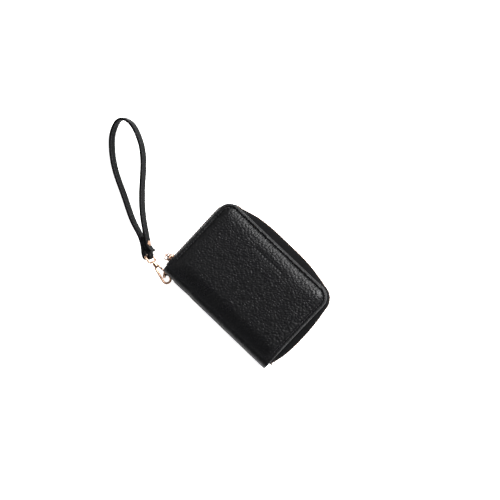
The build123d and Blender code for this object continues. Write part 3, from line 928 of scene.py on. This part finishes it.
# ---------------------------------------------------------------- assembly
def build_leather():
    """Covers, the spine between them, and the sewn line round each cover."""
    front = modify(cover_shell("front_cover_shell", 1), "SOLIDIFY", thickness=SHELL_THICK, offset=-1.0)
    back = cover_shell("back_cover_shell", -1)
    modify(back, "SOLIDIFY", thickness=BACK_THICK, offset=-1.0)
    wrap = modify(spine_wrap(), "SOLIDIFY", thickness=SHELL_THICK, offset=-1.0)
    for piece, body, node in (
        (front, "front_half", "front_cover_leather"),
        (back, "back_half", "back_cover_leather"),
    ):
        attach(piece, body)
        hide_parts(node)
    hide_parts("spine_leather_front", "spine_leather_back")
    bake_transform(wrap)
    for side, body in ((1, "front_half"), (-1, "back_half")):
        sewn = rim_stitches(f"{body}_stitches", side)
        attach(sewn, body)


def build_zip():
    """Both tapes of the main zip with their rows of teeth."""
    for side, word in ((1, "front"), (-1, "back")):
        body = f"{word}_half"
        tape = zip_tape(f"zip_tape_{word}_cloth", side)
        teeth = zip_teeth(f"zip_teeth_{word}_row", side)
        for piece, node, slot in ((tape, "zip_tape", "zip_tape"), (teeth, "zip_teeth", "gold_metal")):
            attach(piece, body)
            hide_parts(f"{node}_{word}")


def build_inside():
    """Linings, card pockets, the coin pocket, the spine's lining and the D-ring's tab."""
    for side, word in ((1, "back"), (-1, "front")):
        body = f"{word}_half"
        cloth = cover_lining(f"{word}_lining", side)
        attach(cloth, body)
        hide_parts(f"{word}_lining")
        pockets, sewn = card_pockets(f"card_panel_{word}", side)
        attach(pockets, body)
        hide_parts(f"card_panel_{word}")
        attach(sewn, body)
    for side, word in ((-1, "back"), (1, "front")):
        panel = coin_panel(f"coin_panel_{word}", side)
        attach(panel, "coin_pocket")
        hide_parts(f"coin_panel_{word}")
    binding = coin_binding()
    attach(binding, "coin_pocket")
    tapes, teeth = coin_zip()
    for tape in tapes:
        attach(tape, "coin_pocket")
    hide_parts("coin_zip_tape")
    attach(teeth, "coin_pocket")
    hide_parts("coin_zip_teeth")
    cloth = spine_cloth()
    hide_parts("spine_lining_front", "spine_lining_back")
    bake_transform(cloth)
    tab, sewn = ring_tab()
    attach(tab, "back_half")
    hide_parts("d_ring_tab")
    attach(sewn, "back_half")


def dress_nodes():
    """A material for every CAD node, by its slot."""
    finish = {
        "pebbled_leather": PEBBLED,
        "smooth_leather": SMOOTH,
        "zip_tape": TAPE,
        "lining": LINING,
        "board": BOARD,
        "foam": FOAM,
        "gold_metal": GOLD,
    }
    for part in frame["record"]["subparts"]:
        node = frame["nodes"][part["node"]]
        node.data.materials.clear()
        node.data.materials.append(finish[part["material_slot"]])


def area_light(name, place, size, power):
    """A white rectangular light, its width and height in metres and power in watts, facing the origin."""
    data = bpy.data.lights.new(name, "AREA")
    data.shape = "RECTANGLE"
    data.size, data.size_y = size
    data.energy = power
    light = bpy.data.objects.new(name, data)
    light.location = place
    light.rotation_euler = (-Vector(place)).to_track_quat("-Z", "Y").to_euler()
    bpy.context.scene.collection.objects.link(light)


def studio():
    """Pale floor with a faint glow, a dim world and four soft lights."""
    material = speckled("floor_paint", (0.9, 0.9, 0.9), (0.93, 0.93, 0.93), scale=30, rough=0.9)
    glow = material.node_tree.nodes["Principled BSDF"]
    glow.inputs["Emission Color"].default_value = (1, 1, 1, 1)
    glow.inputs["Emission Strength"].default_value = FLOOR_GLOW
    half = FLOOR_HALF
    corners = [(-half, -half, 0), (half, -half, 0), (half, half, 0), (-half, half, 0)]
    floor = mesh_object("floor", corners, [(0, 1, 2, 3)], material)
    world = bpy.data.worlds.new("studio")
    world.use_nodes = True
    background = world.node_tree.nodes["Background"]
    background.inputs["Color"].default_value = (1, 1, 1, 1)
    background.inputs["Strength"].default_value = WORLD_GLOW
    bpy.context.scene.world = world
    area_light("key", (0.35, 1.0, 0.8), size=(1.5, 0.7), power=88)
    area_light("fill", (-1.0, -0.9, 0.8), size=(1.0, 0.6), power=7)
    area_light("slant", (-0.6, 0.32, 1.46), size=(0.6, 0.6), power=5)
    area_light("side", (1.2, -0.6, 0.8), size=(1.0, 0.6), power=2)


def camera():
    """Almost straight down on the front cover, leaning a little to the right of the view."""
    target = Vector(VIEW_TARGET)
    up = Vector(VIEW_UP).normalized()
    right = up.cross(Vector((0, 0, 1)))
    back = (Vector((0, 0, 1)) * math.cos(VIEW_LEAN) + right * math.sin(VIEW_LEAN)).normalized()
    data = bpy.data.cameras.new("camera")
    data.sensor_width = SENSOR
    data.lens = SENSOR * VIEW_DISTANCE / VIEW_WIDTH
    view = bpy.data.objects.new("camera", data)
    side = up.cross(back).normalized()
    top = back.cross(side).normalized()
    turn = Matrix((side, top, back)).transposed().to_4x4()
    view.matrix_world = Matrix.Translation(target + back * VIEW_DISTANCE) @ turn
    bpy.context.scene.collection.objects.link(view)
    bpy.context.scene.camera = view


dress_nodes()
build_leather()
build_zip()
build_inside()
strap()
studio()
camera()
bpy.context.scene.view_settings.view_transform = "Standard"
